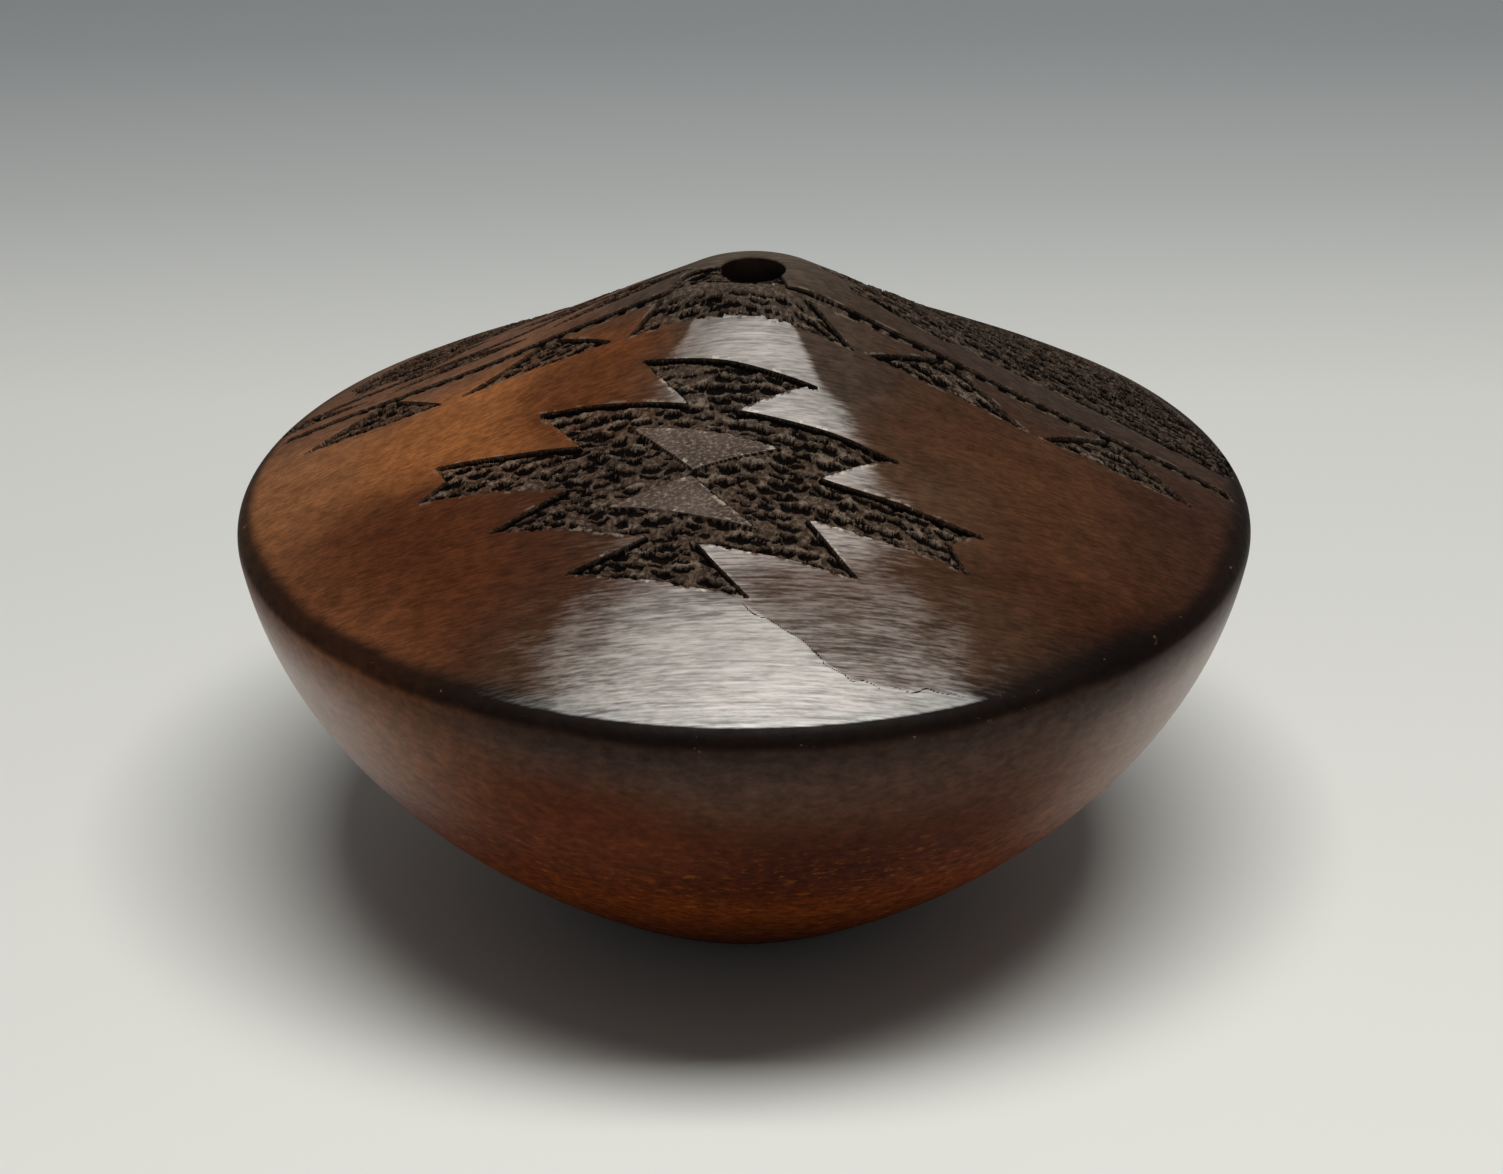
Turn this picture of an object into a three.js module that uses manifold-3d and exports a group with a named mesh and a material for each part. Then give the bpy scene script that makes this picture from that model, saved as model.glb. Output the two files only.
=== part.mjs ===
// Coil-built seed pot: a closed jar with a keeled shoulder, a low conical top and one small seed hole.
// A pat of clay pressed in a bowl mould carries rings of clay, each scarfed to the one below and luted
// with slip. The top is carved: the ground is sunk round two serrated diamonds and along a band.
// Millimetres, +Z up, origin on the floor under the middle of the foot, front towards -Y.
import * as THREE from "three";
import { mergeVertices } from "three/addons/utils/BufferGeometryUtils.js";
import Module from "manifold-3d";

const wasm = await Module();
wasm.setup();

// Driving sizes of the jar
const KEEL_RADIUS = 101.5;
const KEEL_HEIGHT = 85;
const JAR_HEIGHT = 134.3;
const FOOT_RADIUS = 28;
const FLOOR_THICKNESS = 7.5;
const WALL = 6.5;
const HOLE_RADIUS = 6.4;
const LIP_ROUND = 0.6; // radius of the edge of the lip
const TOP_LEAN = 1.9; // how far the seed hole sits to the right of the middle of the foot

// The rings of clay
const BOWL_COILS = 4;
const SHOULDER_COILS = 5;
const SCARF = 4; // how far a seam runs down the wall on its way in
const SLIP = 0.3; // thickness of the slip that lutes two rings together

// The carving, drawn on the cone as if it were rolled out flat
const CARVE_DEPTH = 1.6;
const CONE_SLOPE = THREE.MathUtils.degToRad(27);
const ROLLED_OUT = 0.93; // share of its round that the front half of the cone has when rolled out
const BAND_TILT = THREE.MathUtils.degToRad(8.3);
const DIAMOND_TILT = THREE.MathUtils.degToRad(15);
const DIAMOND = {
  along: 2,
  across: 49.3,
  tiers: 3,
  halfWidth: 50.5,
  taper: 17.2,
  firstStep: 4.6,
  step: 9.1,
  barb: 11.5,
  endNotch: 4,
};
const HOURGLASS = { halfWidth: 13.3, halfHeight: 8.2, waistGap: 1.2 };
const STRIPE = { across: 8.8, width: 2.1, closing: 0.04, halfLength: 97, backGap: 13 };
const TRIANGLES = { base: 17.5, halfWidth: 15.5, first: 39, pitch: 34, perSide: 2 };
const MIDDLE_TRIANGLE = { halfWidth: 21, apex: 4 };

const FACETS = 64;

const at = (r, z) => new THREE.Vector2(r, z);

// The outside of the jar, from the foot up to the lip.
const footRound = new THREE.QuadraticBezierCurve(at(FOOT_RADIUS, 0), at(33, 0), at(38.7, 3.4));
const bowl = new THREE.CubicBezierCurve(
  at(38.7, 3.4),
  at(64.3, 20.6),
  at(95.3, 46.2),
  at(101.2, KEEL_HEIGHT - 3.5),
);
const keelRound = new THREE.QuadraticBezierCurve(
  at(101.2, KEEL_HEIGHT - 3.5),
  at(KEEL_RADIUS + 0.8, KEEL_HEIGHT + 0.9),
  at(97.5, KEEL_HEIGHT + 3.1),
);
const shoulder = new THREE.SplineCurve([
  at(97.5, KEEL_HEIGHT + 3.1),
  at(86.6, KEEL_HEIGHT + 9),
  at(70.5, KEEL_HEIGHT + 17.1),
  at(54.5, KEEL_HEIGHT + 25.2),
  at(38.4, KEEL_HEIGHT + 34.1),
  at(22.3, KEEL_HEIGHT + 42.9),
  at(14, KEEL_HEIGHT + 47.5),
]);
const lipTop = new THREE.QuadraticBezierCurve(
  at(14, KEEL_HEIGHT + 47.5),
  at(10.4, JAR_HEIGHT),
  at(HOLE_RADIUS + LIP_ROUND, JAR_HEIGHT),
);
const lipEdge = new THREE.QuadraticBezierCurve(
  at(HOLE_RADIUS + LIP_ROUND, JAR_HEIGHT),
  at(HOLE_RADIUS, JAR_HEIGHT),
  at(HOLE_RADIUS, JAR_HEIGHT - LIP_ROUND),
);

// A closed mesh as a manifold-3d solid.
function solidOf(geometry) {
  geometry.deleteAttribute("normal");
  geometry.deleteAttribute("uv");
  const merged = mergeVertices(geometry, 1e-4);
  return new wasm.Manifold(
    new wasm.Mesh({
      numProp: 3,
      vertProperties: merged.attributes.position.array,
      triVerts: new Uint32Array(merged.index.array),
    }),
  );
}

// A section in (radius, height) turned about the vertical axis.
function turned(section) {
  return solidOf(new THREE.LatheGeometry(section, FACETS).rotateX(Math.PI / 2));
}

// A seam across the wall, starting at a share of the length of a curve of the outside.
function seamAt(curve, share) {
  const along = curve.getTangentAt(share);
  const inward = at(-along.y, along.x);
  const outer = curve.getPointAt(share);
  const inner = outer.clone().addScaledVector(inward, WALL).addScaledVector(along, -SCARF);
  return { curve, share, along, outer, inner };
}

// The two ends of one ring's face at a seam, half the slip above or below the seam's middle.
function faceAt(seam, side) {
  const shift = (side * SLIP) / 2;
  return {
    outer: seam.outer.clone().addScaledVector(seam.along, shift),
    inner: seam.inner.clone().addScaledVector(seam.along, shift),
  };
}

// Points of a curve between two shares of its length, its ends left out.
function between(curve, from, to, steps) {
  return Array.from({ length: steps - 1 }, (_, i) =>
    curve.getPointAt(from + ((to - from) * (i + 1)) / steps),
  );
}

// The section of a ring that lies between two seams of the same curve.
function ringSection(below, above, steps) {
  const low = faceAt(below, 1);
  const high = faceAt(above, -1);
  const skin = between(below.curve, below.share, above.share, steps);
  return [low.inner, low.outer, ...skin, high.outer, high.inner, low.inner];
}

// The section of the ring that turns the bowl over into the shoulder.
function keelSection(below, above) {
  const low = faceAt(below, 1);
  const high = faceAt(above, -1);
  const skin = [bowl.getPointAt(0.5 + below.share / 2), ...keelRound.getPoints(4)];
  return [low.inner, low.outer, ...skin, high.outer, high.inner, at(94.3, 80.6), low.inner];
}

// The section of the pat: the foot, the floor and the start of the bowl.
function patSection(above) {
  const high = faceAt(above, -1);
  const skin = [...footRound.getPoints(3), ...between(bowl, 0, above.share, 2)];
  return [at(0, 0), ...skin, high.outer, high.inner, at(26, FLOOR_THICKNESS), at(0, FLOOR_THICKNESS)];
}

// The section of the last ring: the lip and the bore of the seed hole.
function mouthSection(below) {
  const low = faceAt(below, 1);
  const boreEnd = JAR_HEIGHT - WALL;
  const bore = [at(HOLE_RADIUS, boreEnd + 0.8), at(HOLE_RADIUS + 1.2, boreEnd - 0.4)];
  const edge = lipEdge.getPoints(2).slice(1);
  return [low.inner, low.outer, ...lipTop.getPoints(4), ...edge, ...bore, low.inner];
}

// A figure drawn flat, with u along the band and v towards the back, laid round the cone. Side 1 is the
// front and side -1 turns the figure round the seed hole to the back, which is closed up to what is left.
function laidOver(figure, side, tilt) {
  return figure.map(([u, v]) => {
    const flat = Math.atan2(side * u, -side * v);
    const front = Math.min(Math.abs(flat), Math.PI / 2) / ROLLED_OUT;
    const back = Math.max(Math.abs(flat) - Math.PI / 2, 0) * (2 - 1 / ROLLED_OUT);
    const angle = Math.sign(flat) * (front + back) - tilt;
    const radius = Math.hypot(u, v);
    return at(radius * Math.sin(angle), -radius * Math.cos(angle));
  });
}

// A figure as an upright prism through the top of the jar, with the islands left out of it.
function prism(side, figure, tilt, islands = []) {
  const shape = new THREE.Shape(laidOver(figure, side, tilt));
  shape.holes = islands.map((island) => new THREE.Path(laidOver(island, side, tilt)));
  const depth = JAR_HEIGHT - KEEL_HEIGHT + 10;
  const geometry = new THREE.ExtrudeGeometry(shape, { depth, bevelEnabled: false });
  return solidOf(geometry.translate(0, 0, KEEL_HEIGHT - 5));
}

// Moves a figure of the diamond from the origin to its place.
function placed(figure) {
  return figure.map(([u, v]) => [u + DIAMOND.along, v - DIAMOND.across]);
}

// The serrated diamond: the side of each tier flares out to a barbed tip.
function serratedDiamond() {
  const quarter = [];
  for (let tier = 0; tier < DIAMOND.tiers; tier += 1) {
    const tip = DIAMOND.halfWidth - DIAMOND.taper * tier;
    const notch = tip - (tier ? DIAMOND.barb : DIAMOND.endNotch);
    const top = DIAMOND.firstStep + DIAMOND.step * tier;
    quarter.push([notch, tier ? top - DIAMOND.step : 0], [tip, top]);
  }
  const upperLeft = quarter.map(([u, v]) => [-u, v]).reverse();
  const lowerLeft = quarter.slice(1).map(([u, v]) => [-u, -v]);
  const lowerRight = lowerLeft.map(([u, v]) => [-u, v]).reverse();
  return placed([...quarter, ...upperLeft, ...lowerLeft, ...lowerRight]);
}

// One of the two polished triangles that stand point to point in the diamond.
function hourglassHalf(end) {
  const { halfWidth, halfHeight, waistGap } = HOURGLASS;
  return placed([
    [0, (end * waistGap) / 2],
    [halfWidth, end * halfHeight],
    [-halfWidth, end * halfHeight],
  ]);
}

// A run of the narrow stripe along the band, in short steps so that it can follow the cone.
function stripe(from, to) {
  const steps = Math.round((to - from) / 16);
  const edge = (offset) =>
    Array.from({ length: steps + 1 }, (_, i) => {
      const u = from + ((to - from) * i) / steps;
      return [u, STRIPE.closing * Math.abs(u) - STRIPE.across + offset];
    });
  return [...edge(STRIPE.width / 2), ...edge(-STRIPE.width / 2).reverse()];
}

// A triangle standing on the edge of the band, with its point in the stripe.
function bandTriangle(place) {
  const far = Math.sign(place) * (TRIANGLES.first + TRIANGLES.pitch * (Math.abs(place) - 1));
  const middle = place ? far : 0;
  const half = place ? TRIANGLES.halfWidth : MIDDLE_TRIANGLE.halfWidth;
  const apex = place ? STRIPE.across - STRIPE.closing * Math.abs(middle) : MIDDLE_TRIANGLE.apex;
  return [
    [middle - half, -TRIANGLES.base],
    [middle + half, -TRIANGLES.base],
    [middle, -apex],
  ];
}

// The layer of skin that the carver may cut, from just above the cone down to the sunk ground, and out
// through the edge of the seed hole.
function skinLayer(seams) {
  const mouth = [lipTop.getPointAt(0.5), at(HOLE_RADIUS - LIP_ROUND, JAR_HEIGHT)];
  const skin = [shoulder.getPointAt(0), ...seams.map((seam) => seam.outer), ...mouth];
  const inward = at(-Math.sin(CONE_SLOPE), -Math.cos(CONE_SLOPE));
  const sunk = skin.map((p) => p.clone().addScaledVector(inward, CARVE_DEPTH)).reverse();
  const raised = skin.map((p) => p.clone().addScaledVector(inward, -1));
  return turned([...sunk, ...raised, sunk[0]]);
}

// Everything the carver sinks. The back has the figures of the front, but it is plain next to the seed
// hole: no middle triangle, and the stripe stops short of the hole on both sides.
function sunkGround(seams) {
  const { halfLength, backGap } = STRIPE;
  const wholeRun = [[-halfLength, halfLength]];
  const brokenRun = [[-halfLength, -backGap], [backGap, halfLength]];
  const figures = [];
  for (const side of [1, -1]) {
    const islands = [hourglassHalf(-1), hourglassHalf(1)];
    figures.push(prism(side, serratedDiamond(), DIAMOND_TILT, islands));
    for (const [from, to] of side > 0 ? wholeRun : brokenRun) {
      figures.push(prism(side, stripe(from, to), BAND_TILT));
    }
    for (let place = -TRIANGLES.perSide; place <= TRIANGLES.perSide; place += 1) {
      if (place || side > 0) figures.push(prism(side, bandTriangle(place), BAND_TILT));
    }
  }
  return wasm.Manifold.union(figures).intersect(skinLayer(seams));
}

// Leans the top over to one side, as the finished jar does.
function leant(geometry) {
  const place = geometry.getAttribute("position");
  for (let i = 0; i < place.count; i += 1) {
    const rise = (place.getZ(i) - KEEL_HEIGHT) / (JAR_HEIGHT - KEEL_HEIGHT);
    place.setX(i, place.getX(i) + TOP_LEAN * Math.max(0, rise));
  }
  return geometry;
}

// A ring as one body: a crumb of skin cut free between a figure and a seam is dropped.
function withoutCrumbs(solid) {
  return solid.decompose().reduce((best, body) => (body.volume() > best.volume() ? body : best));
}

const jar = new THREE.Group();

function addRing(name, solid, colour) {
  const mesh = withoutCrumbs(solid).getMesh();
  const geometry = new THREE.BufferGeometry();
  geometry.setAttribute("position", new THREE.BufferAttribute(mesh.vertProperties, 3));
  geometry.setIndex(new THREE.BufferAttribute(mesh.triVerts, 1));
  const material = new THREE.MeshStandardMaterial({ color: colour, roughness: 0.38, metalness: 0 });
  const ring = new THREE.Mesh(leant(geometry), material);
  ring.geometry.computeVertexNormals();
  ring.name = name;
  jar.add(ring);
}

// Fired clay, from the ochre of the bowl to the smoked brown of the top
const CLAY = { foot: 0x6b3512, bowl: 0x70401f, keel: 0x35190f, shoulder: 0x5a3120, lip: 0x3a2b24 };

const bowlSeams = Array.from({ length: BOWL_COILS + 1 }, (_, i) =>
  seamAt(bowl, 0.17 + (0.75 * i) / BOWL_COILS),
);
const shoulderSeams = Array.from({ length: SHOULDER_COILS + 1 }, (_, i) =>
  seamAt(shoulder, 0.08 + (0.87 * i) / SHOULDER_COILS),
);
const sunk = sunkGround(shoulderSeams);

addRing("base_pat", turned(patSection(bowlSeams[0])), CLAY.foot);

for (let i = 0; i < BOWL_COILS; i += 1) {
  const section = ringSection(bowlSeams[i], bowlSeams[i + 1], 2);
  addRing(`bowl_coil_${i + 1}`, turned(section), CLAY.bowl);
}

const keelRing = turned(keelSection(bowlSeams[BOWL_COILS], shoulderSeams[0]));
addRing("keel_coil", keelRing.subtract(sunk), CLAY.keel);

for (let i = 0; i < SHOULDER_COILS; i += 1) {
  const section = ringSection(shoulderSeams[i], shoulderSeams[i + 1], 1);
  addRing(`shoulder_coil_${i + 1}`, turned(section).subtract(sunk), CLAY.shoulder);
}

const mouthRing = turned(mouthSection(shoulderSeams[SHOULDER_COILS]));
addRing("mouth_ring", mouthRing.subtract(sunk), CLAY.lip);

export default jar;
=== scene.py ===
"""The looks of a coil-built, burnished and carved seed pot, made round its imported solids.

Metres, +Z up, the front towards -Y. The jar's sizes are written in millimetres, as a potter would
measure them, and the studio's in metres.
"""

import math

import bpy
import numpy as np
from mathutils import Matrix, Vector


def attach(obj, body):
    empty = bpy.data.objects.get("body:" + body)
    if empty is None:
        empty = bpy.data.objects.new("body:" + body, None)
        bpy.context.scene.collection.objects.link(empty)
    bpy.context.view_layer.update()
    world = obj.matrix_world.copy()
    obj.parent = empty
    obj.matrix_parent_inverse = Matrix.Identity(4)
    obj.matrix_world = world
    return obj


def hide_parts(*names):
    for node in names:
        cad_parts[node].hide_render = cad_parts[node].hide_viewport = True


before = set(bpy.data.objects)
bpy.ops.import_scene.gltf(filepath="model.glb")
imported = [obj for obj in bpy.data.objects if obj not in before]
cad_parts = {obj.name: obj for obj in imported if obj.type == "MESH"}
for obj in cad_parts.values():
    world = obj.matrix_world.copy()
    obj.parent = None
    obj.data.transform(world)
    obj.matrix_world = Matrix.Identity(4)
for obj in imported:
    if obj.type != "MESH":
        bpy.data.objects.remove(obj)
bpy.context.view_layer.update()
scene = bpy.context.scene

# Base pat: the slab of clay that the jar was started on, pressed in a shallow mould. It is tempered
# clay the colour of amber where the fire reached it, scraped, slipped and rubbed smooth with a stone.
MM = 0.001
KEEL_HEIGHT = 85.0
JAR_HEIGHT = 134.3
WALL = 6.5
SCARF = 4.0
HOLE_RADIUS = 6.4
LIP_ROUND = 0.3
FOOT_RADIUS = 28.0
FLOOR_THICKNESS = 7.5
BOWL_FACETS = 640
TOP_FACETS = 1600
RAIL = 50.0


def sweep(*handles):
    """A smooth curve of the outline in (radius, height), pulled towards its handles."""
    t = np.linspace(0, 1, 400)[:, None]
    points = np.array(handles, float)[:, None]
    while len(points) > 1:
        points = points[:-1] * (1 - t) + points[1:] * t
    return points[0]


def rising(knots):
    """A smooth curve of the outline in (radius, height) through its knots."""
    k = np.array([knots[0], *knots, knots[-1]], float)
    t = np.linspace(0, 1, 80)[:, None]
    runs = []
    for a, b, c, d in zip(k, k[1:], k[2:], k[3:]):
        leaving, arriving = (c - a) / 2, (d - b) / 2
        cubic = 2 * b - 2 * c + leaving + arriving
        square = 3 * c - 3 * b - 2 * leaving - arriving
        runs.append(cubic * t**3 + square * t**2 + leaving * t + b)
    return np.concatenate(runs)


def at_share(curve, shares):
    """Points of a curve at shares of its length."""
    steps = np.hypot(*np.diff(curve, axis=0).T)
    length = np.concatenate([[0], np.cumsum(steps)])
    wanted = np.asarray(shares, float) * length[-1]
    return np.stack([np.interp(wanted, length, curve[:, k]) for k in (0, 1)], -1)


def inner_wall(curve, shares):
    """The inside of the wall, a scarf's length further down than the points of the outside."""
    shares = np.asarray(shares, float)
    step = 0.01
    ahead, behind = np.minimum(shares + step, 1), np.maximum(shares - step, 0)
    course = at_share(curve, ahead) - at_share(curve, behind)
    course /= np.hypot(*course.T)[:, None]
    inward = np.stack([-course[:, 1], course[:, 0]], -1)
    return at_share(curve, shares) + WALL * inward - SCARF * course


foot_round = sweep((FOOT_RADIUS, 0), (33, 0), (38.7, 3.4))
bowl = sweep((38.7, 3.4), (64.3, 20.6), (95.3, 46.2), (101.2, KEEL_HEIGHT - 3.5))
keel_round = sweep((101.2, KEEL_HEIGHT - 3.5), (102.2, KEEL_HEIGHT + 0.9), (97.5, KEEL_HEIGHT + 3.1))
shoulder = rising([
    (97.5, KEEL_HEIGHT + 3.1),
    (86.6, KEEL_HEIGHT + 9),
    (70.5, KEEL_HEIGHT + 17.1),
    (54.5, KEEL_HEIGHT + 25.2),
    (38.4, KEEL_HEIGHT + 34.1),
    (22.3, KEEL_HEIGHT + 42.9),
    (14, KEEL_HEIGHT + 47.5),
])
brim = (HOLE_RADIUS + LIP_ROUND, JAR_HEIGHT - 0.01)
lip_top = sweep((14, KEEL_HEIGHT + 47.5), (10.4, brim[1]), brim)
lip_edge = sweep(brim, (HOLE_RADIUS, brim[1]), (HOLE_RADIUS, brim[1] - LIP_ROUND))
lip = np.concatenate([lip_top, lip_edge[1:]])
bowl_seams = 0.17 + 0.75 * np.arange(5) / 4
shoulder_seams = 0.08 + 0.87 * np.arange(6) / 5


def node(tree, kind, inputs=(), **settings):
    """Adds a node, sets it up, and feeds its inputs with other nodes' sockets or with plain values."""
    made = tree.nodes.new(kind)
    for name, value in settings.items():
        setattr(made, name, value)
    for key, value in dict(inputs).items():
        if isinstance(value, bpy.types.NodeSocket):
            tree.links.new(value, made.inputs[key])
        else:
            made.inputs[key].default_value = value
    return made


def sums(tree, operation, *values):
    """One step of arithmetic on numbers."""
    return node(tree, "ShaderNodeMath", dict(enumerate(values)), operation=operation).outputs[0]


def times(tree, *values):
    """The product of some numbers."""
    product = values[0]
    for value in values[1:]:
        product = sums(tree, "MULTIPLY", product, value)
    return product


def vectors(tree, operation, *values):
    """One step of arithmetic on vectors."""
    return node(tree, "ShaderNodeVectorMath", dict(enumerate(values)), operation=operation).outputs[0]


def along(tree, vector, axis):
    """One of the three numbers of a vector."""
    return node(tree, "ShaderNodeSeparateXYZ", {0: vector}).outputs[axis]


def eased(tree, value, start, end, low=0.0, high=1.0):
    """Goes smoothly from low to high as the value goes from start to end."""
    feeds = {0: value, 1: start, 2: end, 3: low, 4: high}
    return node(tree, "ShaderNodeMapRange", feeds, interpolation_type="SMOOTHSTEP").outputs[0]


def noise(tree, where, scale, detail, roughness=0.5):
    """Soft noise, as a value and as a colour, at a scale in cycles per unit."""
    feeds = {"Vector": where, "Scale": scale, "Detail": detail, "Roughness": roughness}
    return node(tree, "ShaderNodeTexNoise", feeds).outputs


def cloudy(tree, where, scale, detail, roughness, seed):
    """Soft noise of its own for each seed, about 0 to 1, at a scale in cycles per unit."""
    feeds = {"Vector": where, "W": seed, "Scale": scale, "Detail": detail, "Roughness": roughness}
    return node(tree, "ShaderNodeTexNoise", feeds, noise_dimensions="4D").outputs[0]


def new_tree(name, kind, inputs, outputs):
    """An empty node tree with named inputs, each with its kind and its usual value, and outputs."""
    tree = bpy.data.node_groups.new(name, kind)
    for label, (socket, value) in inputs.items():
        made = tree.interface.new_socket(label, in_out="INPUT", socket_type="NodeSocket" + socket)
        if value is not None:
            made.default_value = value
    for label, socket in outputs.items():
        tree.interface.new_socket(label, in_out="OUTPUT", socket_type="NodeSocket" + socket)
    return tree, tree.nodes.new("NodeGroupInput").outputs, tree.nodes.new("NodeGroupOutput").inputs


def ended(tree, geometry, clay, out):
    """Ends a ring's tree: real points, dressed in their clay."""
    real = node(tree, "GeometryNodeRealizeInstances", {"Geometry": geometry})
    feeds = {"Geometry": real.outputs[0], "Material": clay}
    tree.links.new(node(tree, "GeometryNodeSetMaterial", feeds).outputs[0], out)


def turning_tree():
    """Turns the section of a ring of clay about the jar's axis, as a potter's hand goes round it."""
    wants = {"Section": ("Geometry", None), "Facets": ("Int", BOWL_FACETS), "Clay": ("Material", None)}
    tree, given, out = new_tree("Turned ring", "GeometryNodeTree", wants, {"Ring": "Geometry"})
    section = node(tree, "GeometryNodeMeshToCurve", {"Mesh": given["Section"]})
    round_feeds = {"Resolution": given["Facets"], "Radius": RAIL * MM}
    rail = node(tree, "GeometryNodeCurvePrimitiveCircle", round_feeds)
    sweep_feeds = {"Curve": rail.outputs[0], "Profile Curve": section.outputs[0]}
    skin = node(tree, "GeometryNodeCurveToMesh", sweep_feeds)
    closed = node(tree, "GeometryNodeMergeByDistance", {"Geometry": skin.outputs[0], "Distance": 1e-6})
    outward = node(tree, "GeometryNodeFlipFaces", {"Mesh": closed.outputs[0]})
    ended(tree, outward.outputs[0], given["Clay"], out["Ring"])
    return tree


turned_ring = turning_tree()


def formed(piece, tree, **values):
    """Runs a Geometry Nodes tree on a piece and keeps the result as its plain mesh."""
    step = piece.modifiers.new(tree.name, "NODES")
    step.node_group = tree
    for item in tree.interface.items_tree:
        if item.item_type == "SOCKET" and item.in_out == "INPUT" and item.name in values:
            step[item.identifier] = values[item.name]
    result = piece.evaluated_get(bpy.context.evaluated_depsgraph_get())
    kept = bpy.data.meshes.new_from_object(result)
    piece.modifiers.remove(step)
    piece.data = kept


def turned(name, outside, inside, facets, clay, open_axis=False):
    """A ring of clay from the points of its outside going up and of its inside coming down."""
    section = np.concatenate([outside, inside])
    points = np.stack([section[:, 0] - RAIL, -section[:, 1], 0 * section[:, 0]], -1) * MM
    edges = [(i, i + 1) for i in range(len(points) - 1)]
    if not open_axis:
        edges.append((len(points) - 1, 0))
    mesh = bpy.data.meshes.new(name)
    mesh.from_pydata(points.tolist(), edges, [])
    piece = bpy.data.objects.new(name, mesh)
    scene.collection.objects.link(piece)
    formed(piece, turned_ring, Facets=facets, Clay=clay)
    piece.data.name = name
    return piece


def linear(*screen):
    """A colour as a shader wants it, from its red, green and blue on a screen."""
    shares = [value / 255 for value in screen]
    curved = [((s + 0.055) / 1.055) ** 2.4 if s > 0.04045 else s / 12.92 for s in shares]
    return (*curved, 1.0)


def mix_colour(tree, share, first, second):
    """One colour laid over another by a mask."""
    return node(tree, "ShaderNodeMix", {0: share, 6: first, 7: second}, data_type="RGBA").outputs[2]


def clouds_and_painted_light_group():
    """The clouds that the open fire leaves on the clay, amber, red-brown and smoked black, and painted
    light: shade towards the foot, a grey reflection under the keel, a sheen on the bowl's flanks.
    """
    wants = {"Place": ("Vector", None)}
    tree, given, out = new_tree("Fire clouds and painted light", "ShaderNodeTree", wants, {"Colour": "Color"})
    place = given["Place"]
    drift = noise(tree, place, 18.0, 3.0)["Color"]
    centred = vectors(tree, "SUBTRACT", drift, (0.5, 0.5, 0.5))
    wandering = vectors(tree, "MULTIPLY_ADD", centred, (0.03, 0.03, 0.004), place)
    height = along(tree, wandering, "Z")
    bands = node(tree, "ShaderNodeValToRGB", {0: sums(tree, "DIVIDE", height, JAR_HEIGHT * MM)})
    # Colours by height. The darkening towards the foot is painted shade, and the grey-brown from 65 to
    # 80 mm is a painted reflection of the floor under the keel.
    heights = [
        (4, (46, 18, 5)),
        (20, (88, 38, 8)),
        (38, (84, 35, 7)),
        (54, (74, 30, 8)),
        (65, (76, 44, 29)),
        (73, (84, 60, 48)),
        (80, (68, 52, 45)),
        (84, (42, 27, 21)),
        (86, (10, 4, 3)),
        (88.5, (10, 4, 3)),
        (91, (60, 31, 17)),
        (112, (56, 35, 23)),
        (126, (58, 44, 36)),
        (134, (70, 60, 52)),
    ]
    ramp = bands.color_ramp
    ramp.interpolation = "B_SPLINE"
    for level, tint in heights[2:]:
        ramp.elements.new(level / JAR_HEIGHT)
    for element, (level, tint) in zip(ramp.elements, heights):
        element.position = level / JAR_HEIGHT
        element.color = linear(*tint)
    colour = bands.outputs[0]
    clouds = [
        ((-60, -16, 108), (48, 22, 26), 0.45, (130, 80, 44)),
        ((-90, -6, 94), (18, 36, 12), 0.5, (120, 78, 48)),
        ((-26, -20, 120), (18, 16, 14), 0.6, (86, 48, 25)),
        ((-60, 16, 106), (50, 14, 26), 0.5, (102, 68, 48)),
        ((-62, 56, 104), (50, 40, 26), 0.6, (90, 60, 42)),
        ((-64, -52, 95), (30, 26, 14), 0.6, (70, 36, 18)),
        ((60, -38, 104), (38, 20, 14), 0.8, (68, 42, 26)),
        ((88, -34, 93), (18, 30, 12), 0.6, (52, 30, 20)),
        ((58, 2, 108), (54, 20, 26), 0.5, (53, 41, 34)),
        ((44, 56, 104), (60, 46, 30), 0.5, (54, 44, 38)),
        ((2, -82, 94), (50, 18, 12), 0.6, (60, 43, 31)),
        ((6, -26, 122), (22, 14, 10), 0.5, (62, 50, 42)),
        ((24, -52, 106), (20, 18, 12), 0.6, (66, 46, 32)),
        ((6, -98, 50), (44, 24, 12), 0.7, (58, 20, 3)),
        ((-34, -90, 60), (26, 24, 14), 0.7, (84, 38, 14)),
        ((0, -70, 16), (60, 34, 14), 0.8, (66, 26, 4)),
        # These two lighten the bowl's front flanks: in part paler clay, in part a painted sheen of the
        # pale floor.
        ((-76, -56, 70), (30, 44, 17), 0.7, (119, 75, 48)),
        ((80, -50, 56), (24, 40, 19), 0.6, (108, 70, 46)),
    ]
    for middle, reach, softness, tint in clouds:
        apart = vectors(tree, "SUBTRACT", wandering, Vector(middle) * MM)
        scaled = vectors(tree, "DIVIDE", apart, Vector(reach) * MM)
        far = node(tree, "ShaderNodeVectorMath", {0: scaled}, operation="LENGTH").outputs["Value"]
        share = eased(tree, far, 1 + softness, 1 - softness)
        colour = mix_colour(tree, share, colour, linear(*tint))
    smoke_starts = eased(tree, height, 83.2 * MM, 85 * MM)
    smoke_ends = eased(tree, height, 88.7 * MM, 87 * MM)
    smoke = times(tree, smoke_starts, smoke_ends, 0.85)
    tree.links.new(mix_colour(tree, smoke, colour, linear(9, 4, 3)), out["Colour"])
    return tree


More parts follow.
